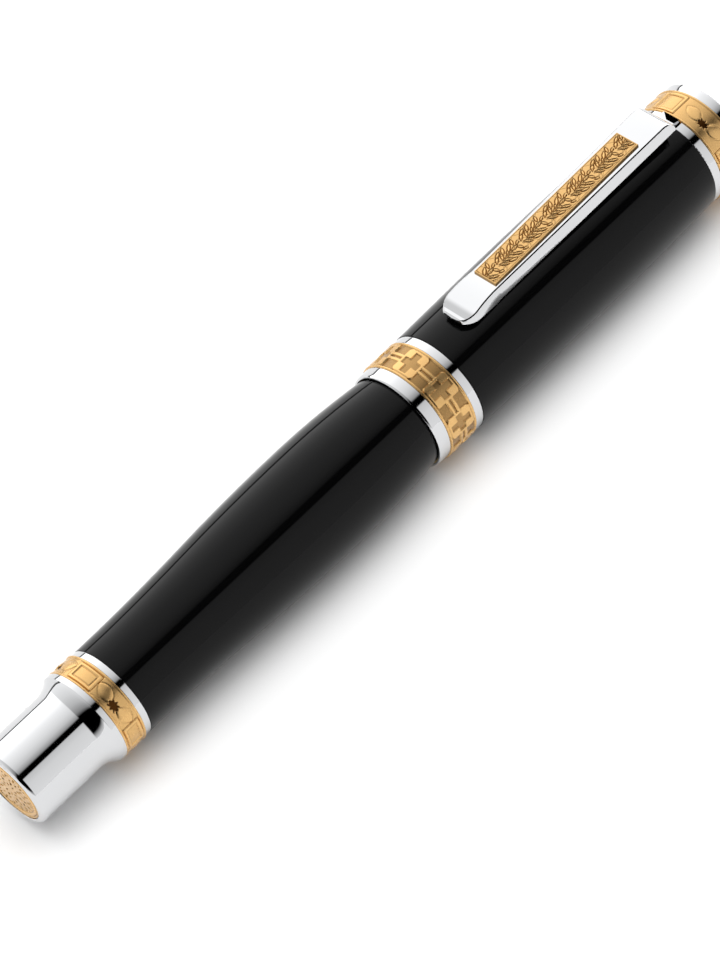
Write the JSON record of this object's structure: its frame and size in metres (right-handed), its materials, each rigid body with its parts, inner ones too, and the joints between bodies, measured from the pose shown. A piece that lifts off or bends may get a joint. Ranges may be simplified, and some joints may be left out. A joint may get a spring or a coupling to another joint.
{
  "type": "rollerball pen",
  "caption": "Capped rollerball pen with a swelling black barrel, chrome ends, embossed gold bands, a sprung pocket clip and a screw-in refill section.",
  "frame": {"origin": "centre of the tail's end face, on the pen's axis", "axes": "+X along the pen from the tail to the top of the cap, +Z towards the clip"},
  "size_m": [0.1378, 0.0168, 0.0202],
  "materials": {
    "lacquer": "polished black resin",
    "chrome": "polished plating on brass",
    "gold": "satin gold plating, struck relief",
    "grip": "polished black resin",
    "brass": "turned",
    "spring_steel": "bright drawn steel",
    "seal": "matt",
    "inner_plastic": "moulded",
    "refill_metal": "drawn",
    "carbide": "polished carbide",
    "fibre": "ink-soaked fibre"
  },
  "bodies": {
    "barrel": {"barrel_shell": "lacquer", "barrel_liner": "brass", "end_cap": "chrome", "end_medallion": "gold", "end_band": "gold", "end_ring": "chrome", "tail_stud": "brass", "refill_spring": "spring_steel"},
    "seal": {"section_seal": "seal"},
    "section": {"grip_section": "grip", "thread_bush": "brass", "section_ring": "chrome", "nose_cone": "chrome"},
    "clutch": {"clutch_ring": "spring_steel"},
    "refill": {"refill_tube": "refill_metal", "refill_plug": "inner_plastic", "ink_wick": "fibre", "tip_holder": "inner_plastic", "ball_socket": "refill_metal"},
    "ball": {"writing_ball": "carbide"},
    "cap": {"cap_shell": "lacquer", "cap_liner": "brass", "inner_cap": "inner_plastic", "lip_ring": "chrome", "cross_band": "gold", "band_ring": "chrome", "top_ring": "chrome", "top_band": "gold", "cap_crown": "chrome", "crown_screw": "brass", "clip_pin": "spring_steel", "clip_spring": "spring_steel"},
    "clip": {"clip_arm": "chrome", "clip_plaque": "gold"}
  },
  "joints": [
    {"name": "section_advance", "type": "slide", "parent": "barrel", "child": "seal", "axis": [1, 0, 0], "range_m": [0, 0.00625]},
    {"name": "section_unscrew", "type": "hinge", "parent": "seal", "child": "section", "pos_m": [0.0773, 0, 0], "axis": [1, 0, 0], "range_deg": [0, 1800]},
    {"name": "cap_turn", "type": "hinge", "parent": "section", "child": "clutch", "pos_m": [0.0817, 0, 0], "axis": [1, 0, 0], "continuous": true},
    {"name": "cap_pull", "type": "slide", "parent": "clutch", "child": "cap", "axis": [1, 0, 0], "range_m": [0, 0.07]},
    {"name": "clip_lift", "type": "hinge", "parent": "cap", "child": "clip", "pos_m": [0.1305, 0, 0.006], "axis": [0, 1, 0], "range_deg": [0, 4], "stiffness_Nm_per_rad": 2, "springref_deg": -0.06, "deforming": ["clip_spring"]},
    {"name": "refill_float", "type": "slide", "parent": "section", "child": "refill", "axis": [1, 0, 0], "range_m": [-0.0006, 0], "stiffness_N_per_m": 500, "springref_m": 0.00001, "deforming": ["refill_spring"]},
    {"name": "ball_roll", "type": "hinge", "parent": "refill", "child": "ball", "pos_m": [0.1253, 0, 0], "axis": [0, 1, 0], "continuous": true}
  ],
  "couplings": [
    {"joint": "section_unscrew", "follows": "section_advance", "rad_per_m": 5026.5}
  ]
}
